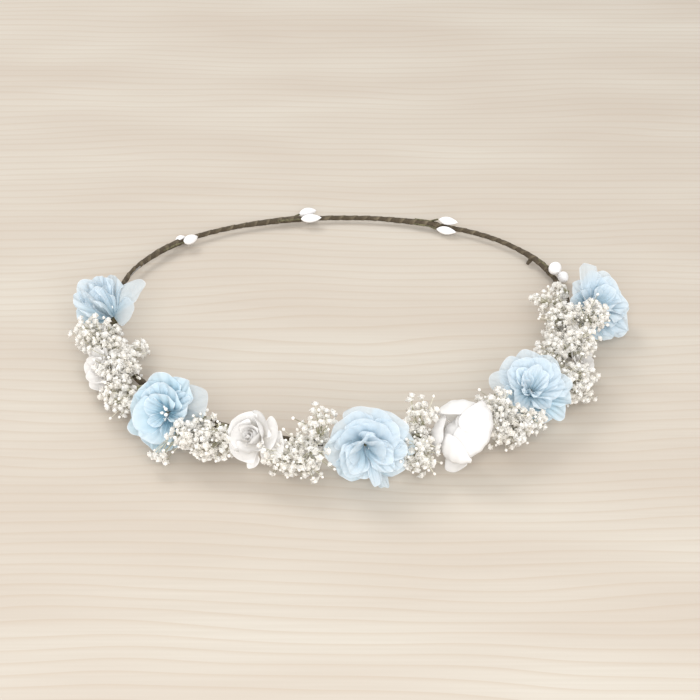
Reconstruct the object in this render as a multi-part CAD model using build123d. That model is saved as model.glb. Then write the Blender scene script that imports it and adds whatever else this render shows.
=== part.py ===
from build123d import *
import math
import os
from dataclasses import dataclass
from functools import cached_property

# Flower crown: an oval wire ring bound in brown florist's tape. Its front half carries five
# blue chiffon blooms and four white paper roses, one beside the other, with a sprig of baby's
# breath in each gap, and its bare back half carries four pairs of white pip buds. Every head,
# bud and sprig has a stem that lies along the band and is held there by a turn of tape.
#
# Millimetres, +Z up. The origin is the centre of the head opening, on the surface that the
# crown lies on. -Y is the front, where the middle bloom is, and +X is the wearer's left.
# Lying down, the ring leans back: its back touches the surface and the heads lift its front.

# --- the ring, an egg of four arcs that meet smoothly: flatter at the back, rounder in front
RING_HALF_WIDTH = 92.5      # along X, to the middle of the wire, at its widest
RING_HALF_DEPTH = 84.0      # along Y
WIDEST_BACK = 13.0          # how far behind the middle the ring is widest
SIDE_RADIUS = 65.0          # of the two side arcs; the front and back arcs follow from it
WIRE_RADIUS = 0.6
TAPE_RADIUS = 1.1           # outside of the taped band
TAPE_GAP = 0.05             # between the wire and the tape
FRONT_LIFT = 9.0            # height of the wire at the front of the ring

# --- stems and the turns of tape that hold them
STEM_RADIUS = 0.4
STEM_GAP = 0.1              # between a bound stem and the band
LEG_HALF = 3.5              # half the length of stem that lies along the band
LEG_STEP = 7.0              # along the band, from a head to the middle of its bound leg
SPRIG_LEG_STEP = 3.0        # the same from a sprig
BINDING_LENGTH = 5.0
BINDING_WALL = 0.3
BINDING_GAP = 0.08
BINDING_WIDENING = 1.3      # walls added to an oval sleeve's narrow half
STEM_BEND = 0.8
NECK_GAP = 0.1              # between a stem's end and what it carries
BUD_GAP = 0.25              # between a bud's belly and the band
HEAD_SIDE = 20              # degrees round the band from straight out, with 90 on top
SPRIG_SIDE = 80

# --- the loose end of the tape
TAIL_ANGLE = 33.5
TAIL_SIDE = 215
TAIL_SECTION = (2.4, 0.5)
TAIL_LENGTH = 2.2
TAIL_ROUNDING = 0.45        # of its edges, as a share of its thickness

BACK_LIFT = TAPE_RADIUS + STEM_GAP + 2 * STEM_RADIUS + BINDING_WALL

# --- heads
BLOOM_HUB = 1.0             # radius of the hole that the stem comes up through
BLOOM_CALYX = (3.0, 1.8)    # height and radius
STAMEN_COUNT = 5
THREAD_RADIUS = 0.2
BEAD_RADIUS = 0.65
ROSE_CALYX = (2.6, 2.0)
HEAD_TAIL = 3.5             # how far a head's calyx and bent stem reach behind its base

# --- baby's breath
FLORET_RADIUS = 1.5
FLORET_COUNT = 14
FLORET_GAP = 0.3            # between florets, and from a floret to a twig
HEAD_GAP = 0.8              # from a floret or a twig to the envelope of a head
TWIG_RADIUS = 0.25
FORK_LENGTH = 3.0           # from the band to where the twigs part
FORK_SWELLING = 1.5         # radius of the fork, in stem radii
TWIG_GAP = 0.05             # between a twig's end and its floret
PLACES_TRIED = 600
LEVEL_STEP = 0.6180339      # irrational steps that spread places evenly through a cloud
REACH_STEP = 0.7548777
INNER_REACH = 0.5           # florets keep to the outer half of the cloud
TWIG_CHECKS = 8             # points along a twig that are checked against the heads
GOLDEN_ANGLE = math.radians(137.508)

# --- the ring's own frame
SIDE_CENTRE = RING_HALF_WIDTH - SIDE_RADIUS


def end_arc(depth):
    """Radius, and distance behind the side arcs' centres, of the arc that ends the ring.

    depth is from the side arcs' centres to the ring's end. The end arc is tangent to both sides.
    """
    over = depth - SIDE_RADIUS
    behind = (SIDE_CENTRE**2 - over**2) / (2 * over)
    return depth + behind, behind


FRONT_RADIUS, FRONT_BEHIND = end_arc(RING_HALF_DEPTH + WIDEST_BACK)
BACK_RADIUS, BACK_BEHIND = end_arc(RING_HALF_DEPTH - WIDEST_BACK)
FRONT_MEETING = -math.degrees(math.atan2(FRONT_BEHIND, SIDE_CENTRE))
BACK_MEETING = math.degrees(math.atan2(BACK_BEHIND, SIDE_CENTRE))
LEAN = math.asin((FRONT_LIFT - BACK_LIFT) / (2 * RING_HALF_DEPTH))
RING_PLANE = Plane(
    origin=(0, 0, (FRONT_LIFT + BACK_LIFT) / 2),
    x_dir=(1, 0, 0),
    z_dir=(0, math.sin(LEAN), math.cos(LEAN)),
)


def arc_at(angle):
    """Centre and radius of the arc of the ring whose outward normal has that angle."""
    across, forward = math.cos(math.radians(angle)), math.sin(math.radians(angle))
    rise = math.degrees(math.atan2(forward, abs(across)))
    if rise < FRONT_MEETING:
        return Vector(0, WIDEST_BACK + FRONT_BEHIND), FRONT_RADIUS
    if rise > BACK_MEETING:
        return Vector(0, WIDEST_BACK - BACK_BEHIND), BACK_RADIUS
    return Vector(math.copysign(SIDE_CENTRE, across), WIDEST_BACK), SIDE_RADIUS


def beside(angle, distance):
    """The ring angle that far along the band, anticlockwise from above."""
    return angle + math.degrees(distance / arc_at(angle)[1])


def station(angle):
    """Plane on the wire where the ring's outward normal has that angle: X out, Y along, Z up."""
    centre, radius = arc_at(angle)
    out = Vector(math.cos(math.radians(angle)), math.sin(math.radians(angle)))
    place = RING_PLANE.from_local_coords(centre + out * radius)
    outward = RING_PLANE.from_local_coords(centre + out * (radius + 1)) - place
    return Plane(origin=place, x_dir=outward, z_dir=RING_PLANE.z_dir)


def around(side):
    """Unit vector in a station's own frame, that many degrees round the band from straight out."""
    return Vector(math.cos(math.radians(side)), 0, math.sin(math.radians(side)))


def ring_tube(outside, inside=0.0):
    """A round tube, or a rod, all along the ring: four torus arcs joined end to end."""
    section = Circle(outside) if inside == 0 else Circle(outside) - Circle(inside)
    tube = None
    for start, end in (
        (FRONT_MEETING, BACK_MEETING),
        (BACK_MEETING, 180 - BACK_MEETING),
        (180 - BACK_MEETING, 180 - FRONT_MEETING),
        (180 - FRONT_MEETING, 360 + FRONT_MEETING),
    ):
        size = end - start
        centre, radius = arc_at(start + size / 2)
        out = Vector(math.cos(math.radians(start)), math.sin(math.radians(start)))
        cut = Plane(origin=centre + out * radius, x_dir=out, z_dir=out.cross(Vector(0, 0, -1)))
        piece = revolve(cut * section, Axis(centre, (0, 0, 1)), size)
        tube = piece if tube is None else tube + piece
    return RING_PLANE.location * tube


# --- where each head, bud pair and sprig sits
@dataclass
class Head:
    """A bloom or a rose: the ring angle, its base out from and above the wire, and its facing."""

    angle: float
    out: float
    up: float
    facing_turn: float       # degrees from straight out, positive anticlockwise from above
    facing_rise: float       # degrees above level
    radius: float
    depth: float

    @cached_property
    def plane(self):
        turn = math.radians(self.angle + self.facing_turn)
        rise = math.radians(self.facing_rise)
        level = Vector(math.cos(turn), math.sin(turn)) * math.cos(rise)
        base = station(self.angle).from_local_coords(Vector(self.out, 0, self.up))
        return Plane(origin=base, z_dir=level + Vector(0, 0, math.sin(rise)))


def bloom(angle, out, up, facing_turn, facing_rise, radius):
    return Head(angle, out, up, facing_turn, facing_rise, radius, 0.8 * radius)


def rose(angle, out, up, facing_turn, facing_rise, radius):
    return Head(angle, out, up, facing_turn, facing_rise, radius, radius)


BLOOMS = [
    bloom(-169.0, -1.0, 7.1, -25, 66, 15.0),
    bloom(-128.5, 6.8, 3.0, 18, 40, 16.0),
    bloom(-85.0, 4.8, 4.4, 6, 24, 16.5),
    bloom(-44.5, 5.6, 4.8, -30, 64, 16.0),
    bloom(-5.5, 7.7, 4.6, -22, 52, 14.5),
]
ROSES = [
    rose(-151.0, 8.9, 2.9, 6, 26, 10.0),
    rose(-107.5, 5.3, 3.6, -20, 40, 11.5),
    rose(-62.5, 9.1, 1.5, -75, 50, 12.0),
    rose(-23.5, 5.6, 3.7, -4, 24, 9.5),
]
HEADS = BLOOMS + ROSES


@dataclass
class Bud:
    """A pip bud beside the band, its tip clockwise."""

    side: float              # degrees round the band from straight out, with 90 on top
    rise: float              # degrees that its tip lifts off the band
    length: float
    radius: float


@dataclass
class BudPair:
    """Two pip buds whose stems are bound at one place: the ring angle of their necks."""

    angle: float
    buds: tuple

    @property
    def sides(self):
        return [one.side for one in self.buds]


BUD_PAIRS = [
    BudPair(131.0, (Bud(155, 0, 7.6, 2.1), Bud(-15, 0, 5.6, 1.8))),
    BudPair(98.0, (Bud(10, 14, 8.2, 2.1), Bud(150, 4, 9.2, 1.9))),
    BudPair(71.0, (Bud(90, 0, 8.6, 1.8), Bud(180, 0, 8.8, 1.8))),
    BudPair(20.0, (Bud(90, 4, 6.1, 2.85), Bud(-12, 8, 5.6, 2.5))),
]


@dataclass
class Sprig:
    """Baby's breath: the ring angle, and the cloud of its florets as (out, along, up) values."""

    angle: float
    middle: tuple            # of the cloud, from the wire
    half: tuple              # half the cloud's size


SPRIGS = [
    Sprig(-160.5, (2.0, 0.0, 8.0), (16.0, 8.0, 9.0)),
    Sprig(-140.5, (6.0, 0.0, 6.0), (15.0, 8.0, 9.0)),
    Sprig(-118.5, (7.0, 0.0, 5.0), (13.0, 8.0, 10.0)),
    Sprig(-96.5, (5.0, 0.0, 6.0), (13.0, 8.0, 12.0)),
    Sprig(-74.0, (5.0, 0.0, 6.0), (13.0, 8.0, 12.0)),
    Sprig(-54.0, (7.0, 0.0, 6.0), (15.0, 8.0, 10.0)),
    Sprig(-33.5, (5.0, 0.0, 6.0), (15.0, 9.0, 10.0)),
    Sprig(-14.5, (-2.0, 0.0, 9.0), (15.0, 9.0, 10.0)),
]


# --- stems and tape
def bound_leg(angle, side):
    """The two ends of a stem that lies along the band, as far as it is bound there."""
    at = station(angle)
    offset = around(side) * (TAPE_RADIUS + STEM_GAP + STEM_RADIUS)
    return [at.from_local_coords(offset + Vector(0, y, 0)) for y in (-LEG_HALF, LEG_HALF)]


def rod_along(points, radius):
    """A round rod along straight runs, with its corners rounded."""
    path = FilletPolyline(*points, radius=STEM_BEND)
    return sweep(Plane(origin=points[0], z_dir=points[1] - points[0]) * Circle(radius), path)


def turn_of_tape(angle, sides):
    """A sleeve of tape around the band and the stems bound to those sides of it.

    One stem makes the sleeve oval; two or more are wound round.
    """
    offset = TAPE_RADIUS + STEM_GAP + STEM_RADIUS
    thickness = 2 * TAPE_RADIUS + STEM_GAP + 2 * STEM_RADIUS
    if len(sides) == 1:
        half = thickness / 2 + BINDING_WALL
        outline = Rot(0, 0, sides[0]) * Pos(half - TAPE_RADIUS - BINDING_WALL, 0) * Ellipse(
            half, TAPE_RADIUS + BINDING_WIDENING * BINDING_WALL
        )
    else:
        outline = Circle(thickness - TAPE_RADIUS + BINDING_WALL)
    holes = Circle(TAPE_RADIUS + BINDING_GAP)
    for side in sides:
        holes += Pos(around(side).X * offset, around(side).Z * offset) * Circle(
            STEM_RADIUS + BINDING_GAP
        )
    at = station(angle)
    out = at.from_local_coords(Vector(1, 0, 0)) - at.origin
    back = at.from_local_coords(Vector(0, -1, 0)) - at.origin
    section = Plane(origin=at.origin, x_dir=out, z_dir=back)
    return extrude(section * (outline - holes), BINDING_LENGTH / 2, both=True)


def tape_tail():
    """The loose end of the tape: a short tongue that stands off the band, inwards and down."""
    reach = around(TAIL_SIDE) * (TAPE_RADIUS + STEM_GAP)
    at = station(TAIL_ANGLE)
    root = at.from_local_coords(reach)
    along = at.from_local_coords(Vector(0, 1, 0)) - at.origin
    tongue = Plane(origin=root, x_dir=along, z_dir=root - at.origin)
    section = RectangleRounded(*TAIL_SECTION, TAIL_SECTION[1] * TAIL_ROUNDING)
    return extrude(tongue * section, TAIL_LENGTH)


# --- heads
def turned(*outline):
    """The solid of revolution of a closed outline of edges in the XZ plane."""
    return revolve(make_face(outline), Axis.Z)


def bowl(under, over):
    """A bowl with a hole in the middle, between two curves given as (radius, height) points."""
    low = Spline(*[Vector(r, 0, z) for r, z in under])
    high = Spline(*[Vector(r, 0, z) for r, z in over])
    return turned(low, Line(low @ 1, high @ 1), high, Line(high @ 0, low @ 0))


def bloom_outer_petals(head):
    r = head.radius
    return head.plane.location * bowl(
        under=[(BLOOM_HUB, 0), (0.5 * r, 0.04 * r), (r, 0.30 * r)],
        over=[(BLOOM_HUB, 0.15 * r), (0.5 * r, 0.19 * r), (0.94 * r, 0.40 * r)],
    )


def bloom_inner_petals(head):
    r = head.radius
    return head.plane.location * bowl(
        under=[(BLOOM_HUB, 0.18 * r), (0.45 * r, 0.26 * r), (0.74 * r, 0.78 * r)],
        over=[(BLOOM_HUB, 0.29 * r), (0.22 * r, 0.30 * r), (0.62 * r, 0.80 * r)],
    )


def bloom_stamens(head):
    """Separate threads that fan out of the heart, each with a bead on its tip."""
    stamens = []
    for k in range(STAMEN_COUNT):
        turn = 2 * math.pi * k / STAMEN_COUNT
        foot = Vector(0.55 * math.cos(turn), 0.55 * math.sin(turn), 0.32 * head.radius)
        tip = Vector(1.9 * math.cos(turn), 1.9 * math.sin(turn), 0.58 * head.radius)
        length = (tip - foot).length
        stamen = Sphere(BEAD_RADIUS) + Pos(0, 0, -length / 2) * Cylinder(THREAD_RADIUS, length)
        stamens.append(head.plane.location * Plane(origin=tip, z_dir=tip - foot).location * stamen)
    return stamens


def rose_outer_petals(head):
    r = head.radius
    return head.plane.location * bowl(
        under=[(BLOOM_HUB, 0), (0.62 * r, 0.10 * r), (r, 0.80 * r)],
        over=[(BLOOM_HUB, 0.20 * r), (0.5 * r, 0.28 * r), (0.88 * r, 0.84 * r)],
    )


def rose_heart(head):
    """The tightly rolled middle of a rose: a barrel with a domed top."""
    r = head.radius
    side = Spline(
        Vector(0, 0, 0.32 * r),
        Vector(0.36 * r, 0, 0.46 * r),
        Vector(0.40 * r, 0, 0.80 * r),
        Vector(0, 0, 1.02 * r),
    )
    return head.plane.location * turned(side, Line(side @ 1, side @ 0))


def head_stem(head, calyx, reach):
    """A head's stem, from the band through its hub, with the taped swelling under the head."""
    height, radius = calyx
    foot = head.plane.from_local_coords(Vector(0, 0, -height))
    tip = head.plane.from_local_coords(Vector(0, 0, reach))
    stem = rod_along([*bound_leg(beside(head.angle, -LEG_STEP), HEAD_SIDE), foot, tip], STEM_RADIUS)
    swelling = Pos(0, 0, -height / 2 - NECK_GAP) * Cone(STEM_RADIUS, radius, height)
    return stem + head.plane.location * swelling


# --- buds
def bud_solid(one):
    """A pip bud on Z: a teardrop with its neck at the origin and a small flat at its tip."""
    shares = [(0.25, 0), (0.78, 0.24), (1, 0.56), (0.68, 0.88), (0.2, 1)]
    side = Spline(*[Vector(one.radius * wide, 0, one.length * high) for wide, high in shares])
    neck, tip = Vector(0, 0, 0), Vector(0, 0, one.length)
    return turned(side, Line(side @ 1, tip), Line(tip, neck), Line(neck, side @ 0))


def bud_pair(pair):
    """The two buds of a pair and their two stems."""
    at = station(pair.angle)
    buds, stems = [], []
    for one in pair.buds:
        neck = at.from_local_coords(around(one.side) * (TAPE_RADIUS + one.radius + BUD_GAP))
        lift = math.radians(one.rise)
        tip = Vector(0, -math.cos(lift), 0) + around(one.side) * math.sin(lift)
        aim = at.from_local_coords(tip) - at.origin
        buds.append(Plane(origin=neck, z_dir=aim).location * bud_solid(one))
        near, far = bound_leg(beside(pair.angle, LEG_STEP), one.side)
        stems.append(rod_along([far, near, neck - aim * NECK_GAP], STEM_RADIUS))
    return buds, stems


# --- baby's breath
def clear_of_heads(point, margin):
    """True if the point is that far from the envelope of each bloom and rose."""
    for head in HEADS:
        local = head.plane.to_local_coords(point)
        rim = head.radius * min(1, 0.6 + 1.4 * max(local.Z, 0) / head.radius)
        beside_rim = math.hypot(local.X, local.Y) < rim + margin
        if beside_rim and -HEAD_TAIL - margin < local.Z < head.depth + margin:
            return False
    return True


def distance_to_run(point, start, end):
    """Distance from a point to the straight run between two others."""
    run = end - start
    share = max(0, min(1, (point - start).dot(run) / run.dot(run)))
    return (point - start - run * share).length


def fork_of(sprig):
    """Where a sprig's twigs part, just off the band."""
    reach = TAPE_RADIUS + STEM_GAP + STEM_RADIUS + FORK_LENGTH
    return station(sprig.angle).from_local_coords(around(SPRIG_SIDE) * reach)


def floret_places(sprig):
    """Middles of a sprig's florets: a spiral through its cloud, where floret and twig are clear."""
    at, fork = station(sprig.angle), fork_of(sprig)
    apart = 2 * FLORET_RADIUS + FLORET_GAP
    twig_apart = FLORET_RADIUS + TWIG_RADIUS + FLORET_GAP
    places = []
    for k in range(PLACES_TRIED):
        level = 1 - 2 * (k * LEVEL_STEP % 1)
        outward = INNER_REACH + (1 - INNER_REACH) * (k * REACH_STEP % 1)
        reach = outward * math.sqrt(1 - level * level)
        cloud = Vector(
            sprig.half[0] * reach * math.cos(k * GOLDEN_ANGLE),
            sprig.half[1] * reach * math.sin(k * GOLDEN_ANGLE),
            sprig.half[2] * level,
        )
        place = at.from_local_coords(Vector(*sprig.middle) + cloud)
        steps = [fork + (place - fork) * (n / TWIG_CHECKS) for n in range(1, TWIG_CHECKS)]
        local = [at.to_local_coords(step) for step in (*steps, place)]
        if place.Z < FLORET_RADIUS + FLORET_GAP or (place - fork).length < 2 * apart:
            continue
        if min(math.hypot(p.X, p.Z) for p in local) < TAPE_RADIUS + STEM_RADIUS * 2 + apart / 2:
            continue
        if not clear_of_heads(place, FLORET_RADIUS + HEAD_GAP):
            continue
        if not all(clear_of_heads(step, TWIG_RADIUS + HEAD_GAP) for step in steps):
            continue
        if any((place - other).length < apart for other in places):
            continue
        if any(distance_to_run(other, fork, place) < twig_apart for other in places):
            continue
        if any(distance_to_run(place, fork, other) < twig_apart for other in places):
            continue
        places.append(place)
        if len(places) == FLORET_COUNT:
            break
    return places


def sprig_stems(sprig, places):
    """A stem bound to the band, up to the fork, with a thin twig to each floret."""
    fork = fork_of(sprig)
    leg = bound_leg(beside(sprig.angle, -SPRIG_LEG_STEP), SPRIG_SIDE)
    stems = rod_along([*leg, fork], STEM_RADIUS)
    stems += Pos(fork) * Sphere(STEM_RADIUS * FORK_SWELLING)
    for place in places:
        run = place - fork
        length = run.length - FLORET_RADIUS - TWIG_GAP
        stems += extrude(Plane(origin=fork, z_dir=run) * Circle(TWIG_RADIUS), length)
    return stems


# --- the whole crown
def save(name, *solids):
    """Writes one node: a solid, or separate solids that share its name."""
    shape = solids[0] if len(solids) == 1 else Compound(children=list(solids))
    box = shape.bounding_box()
    print(name, "low", [round(v, 2) for v in box.min], "high", [round(v, 2) for v in box.max])
    export_step(shape, f"parts/{name}.step")


def main():
    os.makedirs("parts", exist_ok=True)
    save("wire_core", ring_tube(WIRE_RADIUS))
    save("tape_wrap", ring_tube(TAPE_RADIUS, WIRE_RADIUS + TAPE_GAP))
    save("tape_tail", tape_tail())

    for number, head in enumerate(BLOOMS, 1):
        save(f"bloom_{number}_outer_petals", bloom_outer_petals(head))
        save(f"bloom_{number}_inner_petals", bloom_inner_petals(head))
        save(f"bloom_{number}_stem", head_stem(head, BLOOM_CALYX, 0.28 * head.radius))
    save("bloom_stamens", *[stamen for head in BLOOMS for stamen in bloom_stamens(head)])
    for number, head in enumerate(ROSES, 1):
        save(f"rose_{number}_outer_petals", rose_outer_petals(head))
        save(f"rose_{number}_heart", rose_heart(head))
        save(f"rose_{number}_stem", head_stem(head, ROSE_CALYX, 0.30 * head.radius))

    for number, pair in enumerate(BUD_PAIRS, 1):
        buds, stems = bud_pair(pair)
        save(f"bud_pair_{number}_buds", *buds)
        save(f"bud_pair_{number}_stems", *stems)
    for number, sprig in enumerate(SPRIGS, 1):
        places = floret_places(sprig)
        print("sprig", number, "florets", len(places))
        save(f"sprig_{number}_florets", *[Pos(place) * Sphere(FLORET_RADIUS) for place in places])
        save(f"sprig_{number}_stems", sprig_stems(sprig, places))

    head_tape = [turn_of_tape(beside(head.angle, -LEG_STEP), [HEAD_SIDE]) for head in HEADS]
    save("head_bindings", *head_tape)
    bud_tape = [turn_of_tape(beside(pair.angle, LEG_STEP), pair.sides) for pair in BUD_PAIRS]
    save("bud_bindings", *bud_tape)


main()
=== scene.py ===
# %% [markdown]
# # A flower crown
# The crown is a ring of wire wound in brown florist's tape. Its front carries five blue chiffon
# blooms, four white paper roses and dried baby's breath between them, and its bare back carries
# pairs of white pip buds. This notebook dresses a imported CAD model: the model fixes where every
# head, bud and sprig sits, and each step below replaces its plain solids with the real surface.
# Lengths are in millimetres until a mesh is made, and Blender's own unit is the metre.

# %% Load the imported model
import math

import bpy
import numpy as np
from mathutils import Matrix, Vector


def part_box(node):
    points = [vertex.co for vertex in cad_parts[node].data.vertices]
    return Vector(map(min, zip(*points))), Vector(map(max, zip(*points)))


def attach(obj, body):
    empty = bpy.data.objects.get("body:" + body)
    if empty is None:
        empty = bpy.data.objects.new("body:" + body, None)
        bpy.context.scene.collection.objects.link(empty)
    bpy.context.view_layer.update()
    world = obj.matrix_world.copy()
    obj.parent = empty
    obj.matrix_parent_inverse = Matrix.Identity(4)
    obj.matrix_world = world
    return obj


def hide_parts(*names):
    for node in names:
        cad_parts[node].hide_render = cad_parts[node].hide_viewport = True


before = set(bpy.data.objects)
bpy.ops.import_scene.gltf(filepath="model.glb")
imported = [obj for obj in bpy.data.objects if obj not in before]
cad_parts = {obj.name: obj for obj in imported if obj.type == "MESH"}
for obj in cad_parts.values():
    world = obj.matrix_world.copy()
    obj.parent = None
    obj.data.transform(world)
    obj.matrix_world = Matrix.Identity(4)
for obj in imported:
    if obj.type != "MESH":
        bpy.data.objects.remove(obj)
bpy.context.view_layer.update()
MM = 0.001

# %% [markdown]
# ## The ring everything hangs on
# The wire is bent to an egg of four arcs that meet smoothly, flatter at the back than in front,
# and it leans back a little because the heads lift its front. It could be traced as a curve, but
# a formula is better here, because every head is placed by the direction that the ring faces
# where the head is bound. The ring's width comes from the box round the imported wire.

# %% Ring sizes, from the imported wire
_, wire_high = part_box("wire_core")
WIRE_RADIUS = 0.6
TAPE_RADIUS = 1.1
HALF_WIDTH = wire_high[0] / MM - WIRE_RADIUS
HALF_DEPTH = 84.0
SIDE_RADIUS = 65.0
WIDEST_BACK = 13.0
FRONT_LIFT, BACK_LIFT = 9.0, 2.3
LEAN = math.asin((FRONT_LIFT - BACK_LIFT) / (2 * HALF_DEPTH))
SIDE_CENTRE = HALF_WIDTH - SIDE_RADIUS


def end_arc(depth):
    """Radius of the arc that ends the ring, and how far its centre is behind the side centres.

    With over = depth - side radius, the offset is (side centre squared - over squared) / (2 over).
    """
    over = depth - SIDE_RADIUS
    behind = (SIDE_CENTRE**2 - over**2) / (2 * over)
    return depth + behind, behind


FRONT_ARC, FRONT_BEHIND = end_arc(HALF_DEPTH + WIDEST_BACK)
BACK_ARC, BACK_BEHIND = end_arc(HALF_DEPTH - WIDEST_BACK)
FRONT_MEETING = -math.atan2(FRONT_BEHIND, SIDE_CENTRE)
BACK_MEETING = math.atan2(BACK_BEHIND, SIDE_CENTRE)
print("ring arcs", round(FRONT_ARC, 1), SIDE_RADIUS, round(BACK_ARC, 1))


# %% A place on the ring
def station(angle):
    """Place on the wire and its three directions, for ring angles in degrees.

    A point is the arc's centre + radius * (cos angle, sin angle), tilted back about X by LEAN.
    The directions are outwards, along the ring anticlockwise, and up off the ring's plane.
    """
    turn = np.radians(np.asarray(angle, float))
    across, forward = np.cos(turn), np.sin(turn)
    rise = np.arctan2(forward, np.abs(across))
    in_front, at_back = rise < FRONT_MEETING, rise > BACK_MEETING
    radius = np.where(in_front, FRONT_ARC, np.where(at_back, BACK_ARC, SIDE_RADIUS))
    centre_x = np.where(in_front | at_back, 0, np.copysign(SIDE_CENTRE, across))
    shift = np.where(in_front, FRONT_BEHIND, np.where(at_back, -BACK_BEHIND, 0))
    centre_y = WIDEST_BACK + shift
    flat = np.stack([centre_x + radius * across, centre_y + radius * forward], -1)
    tilt = np.array([[1, 0, 0], [0, math.cos(LEAN), -math.sin(LEAN)]])
    up = np.broadcast_to([0, math.sin(LEAN), math.cos(LEAN)], flat.shape[:-1] + (3,))
    place = flat @ tilt + [0, 0, (FRONT_LIFT + BACK_LIFT) / 2]
    out = np.stack([across, forward], -1) @ tilt
    return place, out, np.cross(up, out), up


def arc_radius(angle):
    """Radius of the arc that the ring has at that angle."""
    rise = math.atan2(math.sin(math.radians(angle)), abs(math.cos(math.radians(angle))))
    if rise < FRONT_MEETING:
        return FRONT_ARC
    return BACK_ARC if rise > BACK_MEETING else SIDE_RADIUS


# %% [markdown]
# ## From grids to meshes
# Every piece here is one or more grids: a two-parameter surface worked out as a whole array.
# A grid can close around (a tube's girth) or along (a ring's length). The face corners take
# their UVs before the grid wraps, so a closed seam has no smeared strip, and the seam's
# vertices are shared, so there is nothing to merge afterwards.


# %% Grids and meshes
class Grid:
    """Points in rows and columns, with UVs in centimetres of real material and named values."""

    def __init__(self, points, uv, around=False, along=False, **values):
        self.points, self.uv = np.asarray(points, float), np.asarray(uv, float)
        self.around, self.along, self.values = around, along, values

    def quads(self):
        """Vertex numbers and corner UVs of each face, row by row."""
        rows, columns = self.points.shape[:2]
        r = np.arange(rows if self.along else rows - 1)[:, None]
        c = np.arange(columns if self.around else columns - 1)[None, :]
        corners = [(r, c), (r, c + 1), (r + 1, c + 1), (r + 1, c)]
        numbers = [(a % rows) * columns + b % columns + 0 * r * c for a, b in corners]
        uvs = [self.uv[a + 0 * b, b + 0 * a] for a, b in corners]
        return np.stack(numbers, -1).reshape(-1, 4), np.stack(uvs, -2).reshape(-1, 2)


def make_piece(name, grids, material, stands_for):
    """One smooth mesh object from several grids, riding on the crown, for CAD nodes."""
    points, faces, uvs, start = [], [], [], 0
    for grid in grids:
        numbers, corner_uvs = grid.quads()
        points.append(grid.points.reshape(-1, 3) * MM)
        faces.append(numbers + start)
        uvs.append(corner_uvs)
        start += points[-1].shape[0]
    points, faces, uvs = np.concatenate(points), np.concatenate(faces), np.concatenate(uvs)
    mesh = bpy.data.meshes.new(name)
    mesh.from_pydata(points, [], faces.tolist())
    mesh.uv_layers.new(name="cloth").data.foreach_set("uv", uvs.ravel())
    for key in grids[0].values:
        column = np.concatenate(
            [np.broadcast_to(g.values[key], g.points.shape[:2]).ravel() for g in grids]
        )
        mesh.attributes.new(key, "FLOAT", "POINT").data.foreach_set("value", column)
    mesh.polygons.foreach_set("use_smooth", [True] * len(faces))
    mesh.validate()
    piece = bpy.data.objects.new(name, mesh)
    bpy.context.scene.collection.objects.link(piece)
    piece.data.materials.append(material)
    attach(piece, "root")
    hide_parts(*stands_for)
    print(name, len(faces), "faces")
    return piece


# %% [markdown]
# ## Shader sums in Python
# A finish is easier to read as a sum than as a picture of boxes. The small class below wraps
# one socket: adding or multiplying it adds the Math node. Colours go through Mix nodes, because
# a Math node would turn them grey. Every other node comes from one method.


# %% Sockets with arithmetic
class Value:
    """A number socket of a shader. Sums with it add Math nodes."""

    def __init__(self, finish, socket):
        self.finish, self.socket = finish, socket

    def sum(self, operation, first, second=None):
        """A Math node on one or two inputs."""
        inputs = {0: first} if second is None else {0: first, 1: second}
        return self.finish.node("ShaderNodeMath", {"operation": operation}, inputs)

    def __add__(self, other):
        return self.sum("ADD", self, other)

    def __sub__(self, other):
        return self.sum("SUBTRACT", self, other)

    def __mul__(self, other):
        return self.sum("MULTIPLY", self, other)

    def __rmul__(self, other):
        return self.sum("MULTIPLY", other, self)

    def __pow__(self, other):
        return self.sum("POWER", self, other)


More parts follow.
